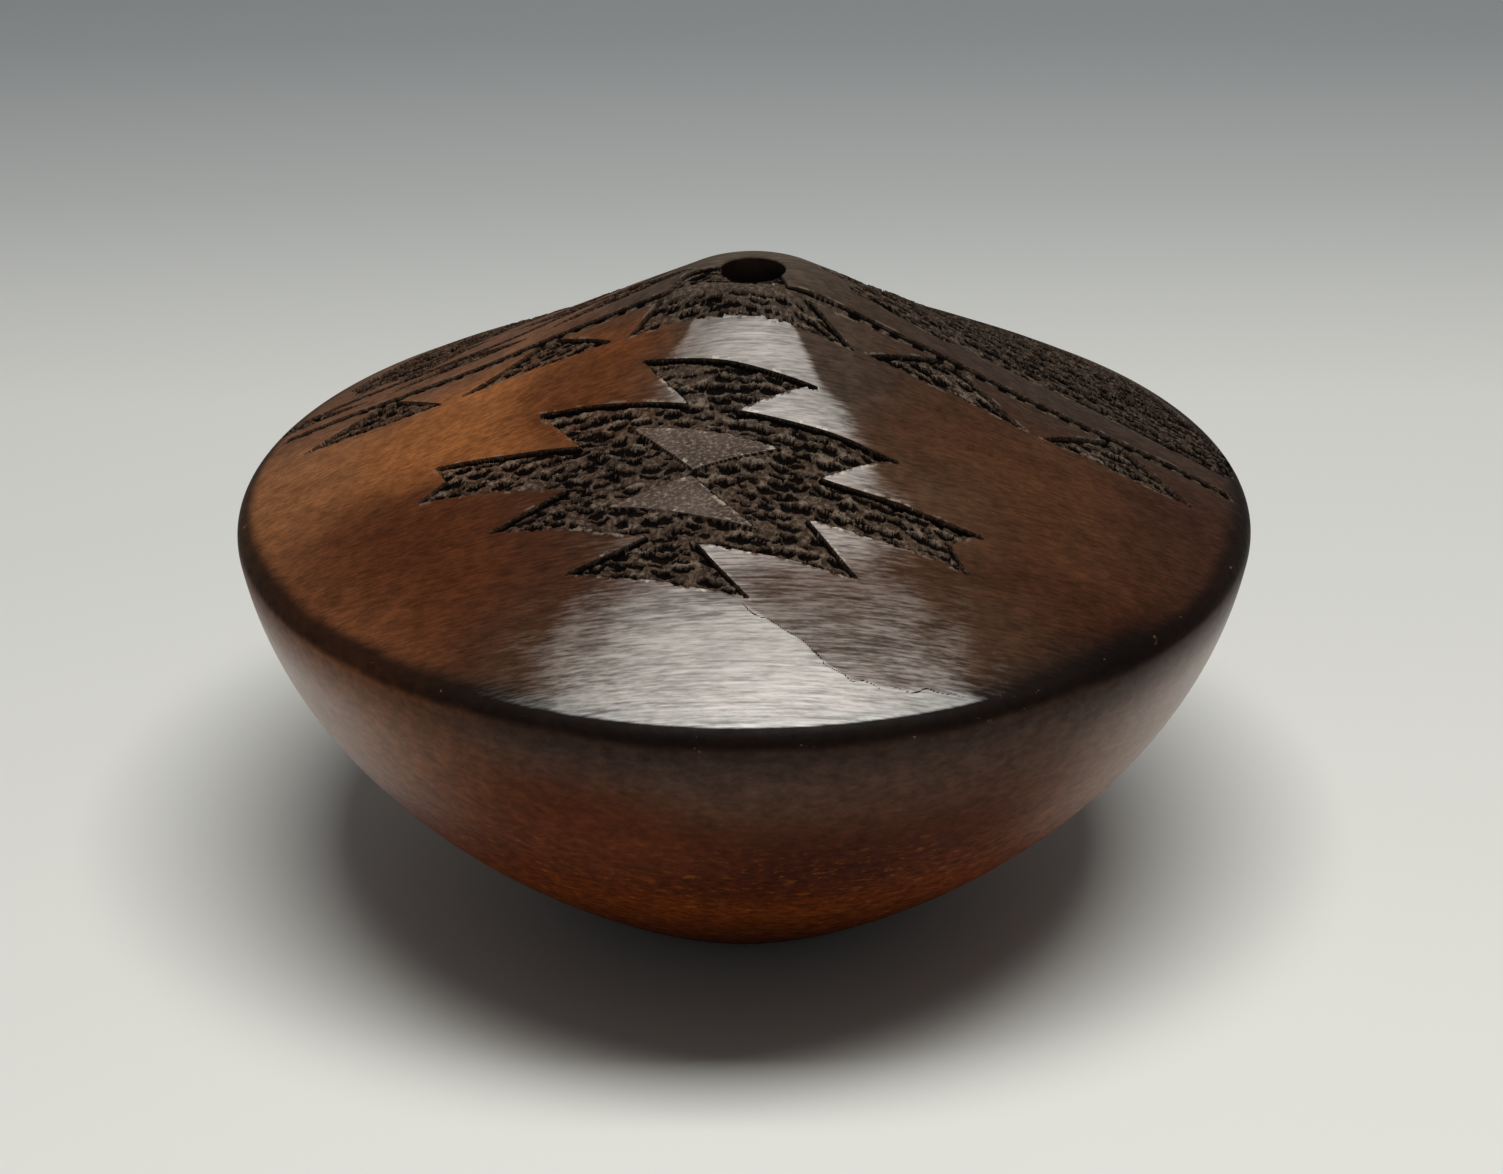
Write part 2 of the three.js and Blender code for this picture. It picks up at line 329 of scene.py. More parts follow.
def stone_strokes_group():
    """The strokes of the rubbing stone over the top, and the mottled slip of the bowl, about 0 to 1."""
    wants = {"Place": ("Vector", None)}
    tree, given, out = new_tree("Stone strokes", "ShaderNodeTree", wants, {"Stroke": "Float"})
    place = given["Place"]
    height = along(tree, place, "Z")
    on_top = eased(tree, height, (KEEL_HEIGHT + 1) * MM, (KEEL_HEIGHT + 3) * MM)
    turn = (0, 0, math.radians(7))
    strokes_top = 0.0
    kinds = [
        ((330, 2300, 1400), 0.4, 0.6, 1.5),
        ((45, 170, 120), 0.2, 0.5, 3.5),
        ((70, 1900, 800), 0.4, 0.6, 1.0),
    ]
    for scale, share, roughness, seed in kinds:
        laid = node(tree, "ShaderNodeMapping", {"Vector": place, "Rotation": turn, "Scale": scale})
        streaks = cloudy(tree, laid.outputs[0], 1.0, 2.0, roughness, seed)
        strokes_top = sums(tree, "MULTIPLY_ADD", streaks, share, strokes_top)
    level = vectors(tree, "MULTIPLY", place, (1, 1, 1.8))
    mottled = sums(tree, "SUBTRACT", cloudy(tree, level, 420.0, 3.0, 0.62, 2.0), 0.5)
    calm = eased(tree, height, 34 * MM, 62 * MM, 0.95, 0.4)
    mottled_bowl = sums(tree, "MULTIPLY_ADD", mottled, calm, 0.5)
    strokes = node(tree, "ShaderNodeMix", {0: on_top, 2: mottled_bowl, 3: strokes_top})
    tree.links.new(strokes.outputs[0], out["Stroke"])
    return tree


clouds_and_painted_light = clouds_and_painted_light_group()
stone_strokes = stone_strokes_group()


def clay_skin_group():
    """Slipped clay rubbed with a stone: clouded colour with the painted light of the clouds group,
    streaks of gloss, and relief in millimetres.
    """
    floats = {name: "Float" for name in ("Roughness", "Gloss", "Sheen", "Height")}
    wants = {"Place": ("Vector", None), "Edge on": ("Float", 0.0)}
    tree, given, out = new_tree("Clay skin", "ShaderNodeTree", wants, {"Colour": "Color", **floats})
    place = given["Place"]
    height = along(tree, place, "Z")
    clouds = node(tree, "ShaderNodeGroup", {"Place": place}, node_tree=clouds_and_painted_light)
    stroke = node(tree, "ShaderNodeGroup", {"Place": place}, node_tree=stone_strokes).outputs["Stroke"]
    grain = eased(tree, stroke, 0.34, 0.66, 0.62, 1.4)
    mottle = eased(tree, cloudy(tree, place, 260.0, 4.0, 0.65, 5.0), 0.3, 0.7, 0.8, 1.2)
    flattened = vectors(tree, "MULTIPLY", place, (1, 1, 1.7))
    ash = eased(tree, cloudy(tree, flattened, 430.0, 3.0, 0.65, 4.0), 0.54, 0.68)
    low = times(tree, eased(tree, height, 8 * MM, 30 * MM), eased(tree, height, 66 * MM, 50 * MM))
    amber = times(tree, ash, low, 0.4)
    speckled = mix_colour(tree, amber, clouds.outputs["Colour"], linear(134, 78, 26))
    colour = vectors(tree, "SCALE", speckled)
    tree.links.new(times(tree, grain, mottle), colour.node.inputs["Scale"])
    pores = eased(tree, cloudy(tree, place, 900.0, 2.0, 0.5, 6.0), 0.6, 0.78, 0.0, -0.05)
    towards = sums(tree, "SUBTRACT", 1.0, given["Edge on"])
    on_side = eased(tree, times(tree, towards, towards), 0.62, 0.02)
    # The gloss comes in above the foot and goes out towards the keel and at its edge.
    for start, end in ((20, 58), (92, 70), (KEEL_HEIGHT + 0.3, KEEL_HEIGHT - 1.5)):
        on_side = times(tree, on_side, eased(tree, height, start * MM, end * MM))
    tree.links.new(colour, out["Colour"])
    tree.links.new(eased(tree, stroke, 0.35, 0.65, 0.6, 0.42), out["Roughness"])
    tree.links.new(eased(tree, stroke, 0.34, 0.64, 0.42, 1.0), out["Gloss"])
    tree.links.new(times(tree, on_side, on_side), out["Sheen"])
    tree.links.new(sums(tree, "MULTIPLY_ADD", stroke, 0.03, pores), out["Height"])
    return tree


clay_skin = clay_skin_group()


def clay(name):
    """A new clay material: the material, its tree and the place on the piece. Its gloss is a coat's."""
    material = bpy.data.materials.new(name)
    material.use_nodes = True
    tree = material.node_tree
    shader = tree.nodes["Principled BSDF"]
    shader.inputs["Specular IOR Level"].default_value = 0.03
    shader.inputs["Coat IOR"].default_value = 3.6
    shader.inputs["Coat Roughness"].default_value = 0.47
    return material, tree, node(tree, "ShaderNodeTexCoord").outputs["Object"]


def edge_on(tree, place):
    """How far a wall is turned away from the eye, 0 to 1, as if it stood upright there."""
    outward = vectors(tree, "NORMALIZE", vectors(tree, "MULTIPLY", place, (1, 1, 0)))
    return node(tree, "ShaderNodeLayerWeight", {"Normal": outward}).outputs["Facing"]


def covered(tree, colour, roughness, gloss, height):
    """Feeds a clay's shader with what varies over the clay. Height is in millimetres."""
    shader = tree.nodes["Principled BSDF"]
    tree.links.new(colour, shader.inputs["Base Color"])
    tree.links.new(roughness, shader.inputs["Roughness"])
    if gloss:
        tree.links.new(gloss, shader.inputs["Coat Weight"])
    bump = node(tree, "ShaderNodeBump", {"Strength": 1.0, "Distance": MM, "Height": height})
    tree.links.new(bump.outputs[0], shader.inputs["Normal"])


def burnished_bowl():
    """The slipped clay of the bowl, whose gloss shows on its flanks."""
    material, tree, place = clay("bowl clay")
    feeds = {"Place": place, "Edge on": edge_on(tree, place)}
    skin = node(tree, "ShaderNodeGroup", feeds, node_tree=clay_skin).outputs
    covered(tree, skin["Colour"], skin["Roughness"], skin["Sheen"], skin["Height"])
    return material


def unslipped():
    """The clay of the inside, which no slip and no stone has reached: matt, and painted nearly black as
    the shade inside the closed jar.
    """
    material, tree, place = clay("unslipped inside in painted shade")
    shader = tree.nodes["Principled BSDF"]
    mottle_in_shade = eased(tree, cloudy(tree, place, 240.0, 3.0, 0.6, 14.0), 0.3, 0.7)
    colour = mix_colour(tree, mottle_in_shade, linear(16, 11, 9), linear(30, 22, 18))
    tree.links.new(colour, shader.inputs["Base Color"])
    shader.inputs["Roughness"].default_value = 0.9
    return material


bowl_clay = burnished_bowl()
unslipped_clay_in_painted_shade = unslipped()
HOLLOW_MIDDLE = Vector((0, 0, 70)) * MM
SEAM_ANGLE = math.radians(38)


def bared(piece):
    """Leaves the inside of a ring, which no stone has rubbed, in bare clay painted nearly black as
    shade.
    """
    mesh = piece.data
    mesh.materials.append(unslipped_clay_in_painted_shade)
    for face in mesh.polygons:
        if face.normal.dot(face.center - HOLLOW_MIDDLE) < 0:
            face.material_index = len(mesh.materials) - 1


def finished(piece):
    """Gives a ring its crisp seam edges and tells the frame which solid it stands for."""
    piece.data.polygons.foreach_set("use_smooth", np.ones(len(piece.data.polygons), bool))
    piece.data.set_sharp_from_angle(angle=SEAM_ANGLE)
    piece.data.update()
    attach(piece, "root")
    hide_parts(piece.name.removesuffix("_look"))


pat_shares = np.linspace(0, bowl_seams[0], 14)
under_foot = at_share(foot_round, np.linspace(0, 1, 10))
pat_outside = np.concatenate([[(0, 0)], under_foot, at_share(bowl, pat_shares)[1:]])
pat_top = inner_wall(bowl, bowl_seams[:1])[0]
pat_inside = [pat_top, (36, 11.5), (26, FLOOR_THICKNESS), (0, FLOOR_THICKNESS)]
base_pat = turned("base_pat_look", pat_outside, pat_inside, BOWL_FACETS, bowl_clay, open_axis=True)
bared(base_pat)
finished(base_pat)

# Bowl coils: four ropes of clay laid round on the pat, each scarfed to the one below and thinned
# between the fingers and a gourd scraper, then slipped and burnished round and round.
for i in range(4):
    shares = np.linspace(bowl_seams[i], bowl_seams[i + 1], 24)
    outside = at_share(bowl, shares)
    inside = inner_wall(bowl, shares[::-4])
    coil = turned(f"bowl_coil_{i + 1}_look", outside, inside, BOWL_FACETS, bowl_clay)
    bared(coil)
    finished(coil)

# Keel coil: the ring that turns the bowl over into the shoulder, pinched to a tight round edge. It is
# the same clay, smoked nearly black, and the ends of the carved stripes run out on its upper side.
GROUND_DEPTH = 0.45
GROOVE_DEPTH = 0.9
HAND_WANDER = 0.2
EDGE_PULL = 0.17
BURR_HEIGHT = 0.5
FAR_OFF = 9.0
TINY = 1e-6
CONE = math.radians(27)
ROLLED_OUT = 0.93
BAND_TILT = math.radians(8.3)
DIAMOND_TILT = math.radians(15)
DIAMOND_MIDDLE = (2, -49.3)
DIAMOND_TIERS = 3
TIER_HEIGHT = 9.1
STRIPE_ACROSS = 8.8
STRIPE_CLOSING = 0.04
STRIPE_END = 97
BEAD = 4.2
TRIANGLE_BASE = 17.5
TRIANGLE_HALF = 15.5


def laid_over(figure, side, tilt):
    """A figure drawn on the cone rolled out flat, laid round it at the front or at the back."""
    u, v = side * np.array(figure, float).T
    flat = np.arctan2(u, -v)
    front = np.minimum(np.abs(flat), np.pi / 2) / ROLLED_OUT
    back = np.maximum(np.abs(flat) - np.pi / 2, 0) * (2 - 1 / ROLLED_OUT)
    angle = np.sign(flat) * (front + back) - tilt
    return np.stack([np.hypot(u, v) * np.sin(angle), -np.hypot(u, v) * np.cos(angle)], -1)


def placed(figure):
    """Moves a figure of the diamond from the origin to its place."""
    return [(u + DIAMOND_MIDDLE[0], v + DIAMOND_MIDDLE[1]) for u, v in figure]


def barb_tip(tier):
    """The tip of the barb at the top of a tier of the diamond."""
    return 50.5 - 17.2 * tier, 4.6 + TIER_HEIGHT * tier


def serrated_diamond():
    """The stepped diamond: the side of each tier flares out to a barbed tip."""
    quarter = []
    for tier in range(DIAMOND_TIERS):
        tip, top = barb_tip(tier)
        quarter += [(tip - (11.5 if tier else 4), top - TIER_HEIGHT if tier else 0), (tip, top)]
    half = quarter + [(-u, v) for u, v in reversed(quarter)]
    return placed(half + [(-u, -v) for u, v in half[1:-1]])


def hourglass_half(end):
    """One of the two polished triangles that stand point to point in the diamond."""
    return placed([(0, end * 0.6), (13.3, end * 8.2), (-13.3, end * 8.2)])


def overcut(tier):
    """The slit where the knife ran on past the tip of a barb."""
    tip, top = barb_tip(tier)
    slit = [(-9, -0.8), (-9, 0), (0.5, 0), (0.8, -0.45), (0.3, -0.9)]
    return placed([(tip + u, top + v) for u, v in slit])


def stripe(start, end):
    """A run of the narrow stripe of punched hollows along the band."""
    run = np.linspace(start, end, 25)
    middle = STRIPE_CLOSING * np.abs(run) - STRIPE_ACROSS
    edges = [np.stack([run, middle + side * 1.4], -1) for side in (1, -1)]
    return np.concatenate([edges[0], edges[1][::-1]])


def band_triangle(place):
    """A triangle standing on the edge of the band, with its point in the stripe."""
    base = -TRIANGLE_BASE
    if not place:
        return [(-21, base), (21, base), (13, -10), (7.5, -7), (5, -1), (-6.5, 0), (-13, -2.5)]
    middle = np.sign(place) * (39 + 34 * (abs(place) - 1))
    left, right = middle - TRIANGLE_HALF, middle + TRIANGLE_HALF
    return [(left, base), (right, base), (middle, STRIPE_CLOSING * abs(middle) - STRIPE_ACROSS)]


def inner_triangle(place):
    """A triangle of the row between the two stripes, with its point in the back one."""
    middle = np.sign(place) * (27 + 33.7 * (abs(place) - 1))
    left, right = middle - TRIANGLE_HALF, middle + TRIANGLE_HALF
    return [(left, -0.5), (right, -0.5), (middle, STRIPE_ACROSS - STRIPE_CLOSING * abs(middle))]


def wandering_line(points, length, seed):
    """A smooth wander of about -1 to 1 over a plan, for lines that are cut by hand."""
    rng = np.random.default_rng(seed)
    total = np.zeros(len(points))
    for _ in range(6):
        heading = rng.uniform(0, 2 * np.pi)
        wave = 2 * np.pi / (length * rng.uniform(0.7, 1.6))
        phase = rng.uniform(0, 2 * np.pi)
        total += np.sin(wave * (points @ (np.cos(heading), np.sin(heading))) + phase)
    return total / 3


def way_to_edge(points, p, q):
    """The way from each plan point to the nearest point of the edge from p to q."""
    edge, apart = q - p, points - p
    t = np.clip(apart @ edge / (edge @ edge), 0, 1)
    return t[:, None] * edge - apart


def depth_in(points, figure):
    """How far inside a figure each plan point lies, below 0 outside, and the way to its nearest edge."""
    best = np.full(len(points), np.inf)
    way = np.zeros_like(points)
    odd = np.zeros(len(points), bool)
    for p, q in zip(figure, np.roll(figure, -1, axis=0)):
        off = way_to_edge(points, p, q)
        far = np.hypot(*off.T)
        nearer = far < best
        best[nearer], way[nearer] = far[nearer], off[nearer]
        run, rise = q - p
        if rise:
            over = (p[1] > points[:, 1]) != (q[1] > points[:, 1])
            odd ^= over & (points[:, 0] < run * (points[:, 1] - p[1]) / rise + p[0])
    return np.where(odd, best, -best), way


cut_figures = []
stripe_figures = []
island_figures = []
whole_run = [(-STRIPE_END, STRIPE_END)]
broken_run = [(-STRIPE_END, -13), (13, STRIPE_END)]
for side, runs in ((1, whole_run), (-1, broken_run)):
    cut_figures.append(laid_over(serrated_diamond(), side, DIAMOND_TILT))
    stripe_figures += [laid_over(stripe(*run), side, BAND_TILT) for run in runs]
    places = [place for place in range(-2, 3) if place or side > 0]
    cut_figures += [laid_over(band_triangle(place), side, BAND_TILT) for place in places]
    cut_figures += [laid_over(overcut(tier), side, DIAMOND_TILT) for tier in range(DIAMOND_TIERS)]
    island_figures += [laid_over(hourglass_half(end), side, DIAMOND_TILT) for end in (-1, 1)]
cut_figures += [laid_over(inner_triangle(place), 1, BAND_TILT) for place in (-3, -2, -1)]
right_field = [(19, 1), (38, 0.5), (43, 5), (46, 2.5), (64, 5.5), (68, 10), (72, 8), (88, 6.5), (99, 6)]
right_field += [(99, 18), (80, 52), (56, 72), (34, 58), (14, 24)]
left_field = [(-17, 13), (-30, 16), (-50, 25), (-66, 17), (-86, 9)]
left_field += [(-91, 20), (-76, 48), (-56, 70), (-34, 56), (-20, 30)]
cut_figures += [laid_over(field, 1, BAND_TILT) for field in (right_field, left_field)]
CRACK = np.array([
    (-0.5, -75.7), (5, -79.6), (9.5, -82.3), (13.1, -86), (18.4, -89.3), (27.3, -90.2), (40, -88.9),
])


def figures_depth(plan, figures):
    """How far inside the nearest of some figures each plan point lies, and the way to its edge."""
    deepest = np.full(len(plan), -FAR_OFF)
    way = np.zeros_like(plan)
    for figure in figures:
        near = np.flatnonzero(np.all((plan > figure.min(0) - 3) & (plan < figure.max(0) + 3), axis=1))
        if len(near):
            depth, off = depth_in(plan[near], figure)
            better = depth > deepest[near]
            deepest[near[better]], way[near[better]] = depth[better], off[better]
    return deepest, way


def carved_depth(plan):
    """How far inside the sunk ground and the islands each plan point lies, and the way to the edge."""
    ground, way = figures_depth(plan, cut_figures + stripe_figures)
    island, off = figures_depth(plan, island_figures)
    nearer = -island < ground
    return np.where(nearer, -island, ground), np.where(nearer[:, None], off, way), island


def crack_distance(plan):
    """The distance of each plan point from the hairline crack in the slip."""
    best = np.full(len(plan), FAR_OFF)
    jagged = plan + 0.45 * np.stack([wandering_line(plan, 6, 31), wandering_line(plan, 5, 32)], -1)
    jagged += 0.12 * np.stack([wandering_line(plan, 1.8, 33), wandering_line(plan, 1.6, 34)], -1)
    for p, q in zip(CRACK, CRACK[1:]):
        best = np.minimum(best, np.hypot(*way_to_edge(jagged, p, q).T))
    return best


def smooth(values, start, end):
    """Goes smoothly from 0 to 1 as the values go from start to end."""
    t = np.clip((values - start) / (end - start), 0, 1)
    return t * t * (3 - 2 * t)


def polish(plan):
    """How well the stone has polished each plan point: best over the front, less behind the crack."""
    radius = np.maximum(np.hypot(*plan.T), TINY)
    bearing = np.degrees(np.arctan2(plan[:, 0], -plan[:, 1])) + 2.0 * wandering_line(plan, 12, 21)
    near_hole = np.clip((45 - radius) / 25, 0, 1)
    left, right = -20 - 18 * near_hole, 26 - 3 * near_hole
    fade_left, fade_right = 2 + 12 * (1 - near_hole), 2 + 4 * (1 - near_hole)
    share = smooth(bearing, left - fade_left, left + fade_left)
    share *= smooth(bearing, right + fade_right, right - fade_right)
    crack_y = np.interp(plan[:, 0], *CRACK.T)
    behind = smooth(plan[:, 1] - crack_y, -0.4, 0.6) * smooth(plan[:, 0], -12, 6)
    behind *= smooth(radius, 62, 72)
    keel_edge = smooth(radius, 99.1, 98.6)
    rubbed = 0.42 + 0.24 * smooth(radius, 70, 88) + 0.2 * smooth(radius, 60, 48)
    return share * (1 - 0.6 * behind) * rubbed * keel_edge


top_line = np.concatenate([keel_round[np.argmax(keel_round[:, 0]):], shoulder[1:], lip[1:]])
top_line = top_line[:np.argmin(top_line[:, 0]) + 1][::-1]


def carve(ring, sides):
    """Cuts the figures into a turned ring's outside: sharp walls, a knife groove, a sunk ground."""
    mesh = ring.data
    across = len(mesh.vertices) // TOP_FACETS
    co = np.empty(len(mesh.vertices) * 3, np.float32)
    mesh.vertices.foreach_get("co", co)
    co = co.reshape(TOP_FACETS, across, 3).astype(float) / MM
    skin = co[:, :sides].reshape(-1, 3)
    off_bore = np.hypot(skin[:, 0], skin[:, 1]) > HOLE_RADIUS + 0.05
    top = np.flatnonzero((skin[:, 2] > KEEL_HEIGHT + 1.5) & off_bore)
    plan = skin[top, :2]
    wobble = np.stack([wandering_line(plan, 26, 11), wandering_line(plan, 19, 12)], -1) * HAND_WANDER
    ground, way, island = carved_depth(plan + wobble)
    striped = figures_depth(plan + wobble, stripe_figures)[0]
    upward = way[:, 1] / np.maximum(np.hypot(*way.T), TINY) * np.sign(ground + 1e-9)
    upper, lower = np.clip(upward, 0, 1), np.clip(-upward, 0, 1)
    chipped = wandering_line(plan, 2.4, 13) * wandering_line(plan, 5.2, 14)
    close = np.abs(ground) < EDGE_PULL
    moved = plan.copy()
    moved[close] += way[close]
    ground[close] = 0
    ground += np.clip(chipped, 0, 1) * 0.35 * lower * (np.abs(ground) < 1.2)
    radius = np.hypot(*moved.T)
    before = np.hypot(*plan.T)
    lift = np.interp(radius, *top_line.T) - np.interp(before, *top_line.T)
    beside = smooth(island, -3, -1)
    upper = upper * (1 - beside)
    cut_width = 0.5 + 0.5 * smooth(wandering_line(plan, 8, 16), -0.6, 0.8)
    wall = smooth(ground, 0, 0.3) * (1 - 0.65 * beside)
    reach = 0.2 + 0.2 * upper * cut_width
    bell = np.exp(-(((ground - reach) / reach) ** 2)) * (ground > 0)
    groove = bell * (0.3 + 0.7 * upper)
    down_band = plan @ (math.cos(BAND_TILT), -math.sin(BAND_TILT)) + 0.5 * wandering_line(plan, 9, 15)
    between_beads = smooth(np.cos(2 * np.pi * down_band / BEAD), -0.1, 0.8) * smooth(striped, 0, 0.5)
    between_beads *= smooth(before, 17, 21)
    near_lip = np.clip((radius - HOLE_RADIUS) / 6, 0.6, 1)
    sink = (GROUND_DEPTH * wall + GROOVE_DEPTH * np.maximum(groove, 0.8 * between_beads)) * near_lip
    toward = moved / np.maximum(radius, TINY)[:, None]
    skin[top, :2] = moved - toward * (sink * math.sin(CONE))[:, None]
    skin[top, 2] += lift - sink * math.cos(CONE)
    co[:, :sides] = skin.reshape(TOP_FACETS, sides, 3)
    mesh.vertices.foreach_set("co", (co * MM).astype(np.float32).ravel())
    # Painted shadow: the knife groove under the upper edges and the hollows between the beads of the
    # stripes are marked for the black 'shade'.
    edge_shade = smooth(bell, 0.25, 0.6) * np.maximum(0.75 + 0.2 * beside, upper)
    edge_shade *= ground < 0.32 + 0.4 * upper * cut_width
    marks = {
        "carve": (ground, -FAR_OFF),
        "scoop": (smooth(ground, 0.1, 0.6) * smooth(striped, 0.1, -0.3), 0.0),
        "shade": (np.maximum(edge_shade, between_beads), 0.0),
        "island": (island, -FAR_OFF),
        "crack": (crack_distance(plan), FAR_OFF),
        "polish": (polish(plan), 0.0),
    }
    for name, (values, elsewhere) in marks.items():
        outer = np.full(TOP_FACETS * sides, elsewhere)
        outer[top] = values
        whole = np.full((TOP_FACETS, across), elsewhere, np.float32)
        whole[:, :sides] = outer.reshape(TOP_FACETS, sides)
        mesh.attributes.new(name, "FLOAT", "POINT").data.foreach_set("value", whole.ravel())
    mesh.update()


def gouging_tree():
    """The scoops of a small gouge over the sunk ground, with painted shadow under their overhangs and
    painted light on their burrs kept as 'shade', and the lean that the top took as it dried.
    """
    wants = {
        "Ring": ("Geometry", None),
        "Depth": ("Float", 1.1 * MM),
        "Length": ("Float", 4.4 * MM),
        "Width": ("Float", 2.5 * MM),
        "Tilt": ("Float", 0.14),
        "Lean": ("Float", 1.9 * MM),
        "Seed": ("Float", 4.0),
        "Clay": ("Material", None),
    }
    tree, given, out = new_tree("Gouged ground", "GeometryNodeTree", wants, {"Ring": "Geometry"})
    place = node(tree, "GeometryNodeInputPosition").outputs[0]
    marks = [
        node(tree, "GeometryNodeInputNamedAttribute", {"Name": name}, data_type="FLOAT")
        for name in ("scoop", "shade")
    ]
    amount, edge_shade = (mark.outputs["Attribute"] for mark in marks)
    spin = node(tree, "ShaderNodeCombineXYZ", {2: given["Tilt"]}).outputs[0]
    feeds = {"Vector": vectors(tree, "MULTIPLY", place, (1, 1, 0)), "Rotation": spin}
    straight = node(tree, "ShaderNodeVectorRotate", feeds, rotation_type="EULER_XYZ").outputs[0]
    cell = node(tree, "ShaderNodeCombineXYZ", {0: given["Length"], 1: given["Width"], 2: 1.0}).outputs[0]
    scaled = vectors(tree, "DIVIDE", straight, cell)
    drift = noise(tree, scaled, 0.9, 4.0, 0.62)["Color"]
    wavering = vectors(tree, "MULTIPLY_ADD", drift, (1.2, 1.2, 0), scaled)
    ragged = noise(tree, scaled, 3.2, 2.0)["Color"]
    wavering = vectors(tree, "MULTIPLY_ADD", ragged, (0.55, 0.4, 0), wavering)
    feeds = {"Vector": wavering, "W": given["Seed"], "Scale": 1.0, "Randomness": 0.85}
    scoops = node(tree, "ShaderNodeTexVoronoi", feeds, voronoi_dimensions="4D").outputs
    from_middle = vectors(tree, "SUBTRACT", wavering, scoops["Position"])
    aside, uphill = along(tree, from_middle, "X"), along(tree, from_middle, "Y")
    run_in = eased(tree, uphill, -0.6, 0.2)
    stop = eased(tree, uphill, 0.38, 0.24)
    flank = sums(tree, "MULTIPLY_ADD", times(tree, aside, aside), -3.4, 1.0)
    flank.node.use_clamp = True
    strength = along(tree, scoops["Color"], "X")
    scoop = times(tree, run_in, stop, flank, eased(tree, strength, 0.0, 0.65, 0.35, 1.2))
    rough = noise(tree, place, 750.0, 3.0, 0.6)[0]
    torn = sums(tree, "MULTIPLY_ADD", eased(tree, rough, 0.3, 0.7), 0.22, scoop)
    # Painted shadow: the hollow under each scoop's overhang is marked to be coloured black.
    under = times(tree, scoop, eased(tree, uphill, -0.1, 0.14))
    overhang_shadow = sums(tree, "MULTIPLY_ADD", sums(tree, "SUBTRACT", rough, 0.5), 0.9, under)
    dark = times(tree, eased(tree, overhang_shadow, 0.18, 0.28), amount)
    # Painted highlight: burrs on the front, where the light catches them, are marked to be coloured
    # pale.
    forward = eased(tree, along(tree, place, "Y"), 4 * MM, -20 * MM)
    raised = times(tree, eased(tree, uphill, 0.33, 0.4), eased(tree, strength, 0.2, 0.6))
    lit_burr = times(tree, raised, forward, amount)
    shade = sums(tree, "SUBTRACT", sums(tree, "MAXIMUM", dark, edge_shade), lit_burr)
    fall = times(tree, torn, amount, times(tree, given["Depth"], -1.0))
    height = along(tree, place, "Z")
    above = eased(tree, height, KEEL_HEIGHT * MM, JAR_HEIGHT * MM)
    above.node.interpolation_type = "LINEAR"
    backward = sums(tree, "MULTIPLY_ADD", forward, -BURR_HEIGHT * MM, BURR_HEIGHT * MM)
    thrown_up = times(tree, raised, amount, backward, eased(tree, height, 131 * MM, 126 * MM))
    shifts = {0: times(tree, above, given["Lean"]), 2: sums(tree, "ADD", fall, thrown_up)}
    shift = node(tree, "ShaderNodeCombineXYZ", shifts).outputs[0]
    feeds = {"Geometry": given["Ring"], "Name": "shade", "Value": shade}
    marked = node(tree, "GeometryNodeStoreNamedAttribute", feeds, data_type="FLOAT", domain="POINT")
    moved = node(tree, "GeometryNodeSetPosition", {"Geometry": marked.outputs[0], "Offset": shift})
    ended(tree, moved.outputs[0], given["Clay"], out["Ring"])
    return tree


gouged_ground = gouging_tree()


def carved_ground():
    """Clay laid bare by the gouge: matt and torn, painted black as shadow in the hollows and along the
    cut edges, with painted light on burrs and glints.
    """
    material, tree, place = clay("carved ground")
    skin = node(tree, "ShaderNodeGroup", {"Place": place}, node_tree=clay_skin).outputs
    shade = node(tree, "ShaderNodeAttribute", attribute_name="shade").outputs["Fac"]
    grit = cloudy(tree, place, 1000.0, 4.0, 0.7, 8.0)
    light = eased(tree, grit, 0.42, 0.68)
    ridge = mix_colour(tree, light, linear(52, 43, 37), linear(112, 99, 87))
    ridge = mix_colour(tree, 0.3, ridge, skin["Colour"])
    # Painted highlight: the pale burrs below the scoops.
    lit_burr = times(tree, eased(tree, shade, -0.1, -0.6), eased(tree, grit, 0.4, 0.52), 0.55)
    ridge = mix_colour(tree, lit_burr, ridge, linear(126, 114, 101))
    # Painted highlight: small pale glints on the ridges.
    glint = eased(tree, cloudy(tree, place, 1400.0, 2.0, 0.6, 12.0), 0.68, 0.76)
    ridge = mix_colour(tree, glint, ridge, linear(176, 166, 152))
    # Painted shadow: the shade mark turns the colour black in the hollows and along the cut edges.
    colour = mix_colour(tree, eased(tree, shade, 0.0, 0.7), ridge, linear(10, 7, 6))
    covered(tree, colour, eased(tree, grit, 0.4, 0.7, 0.85, 0.5), None, times(tree, grit, 0.6))
    return material


MARKS = ("Carve", "Island", "Crack", "Polish")


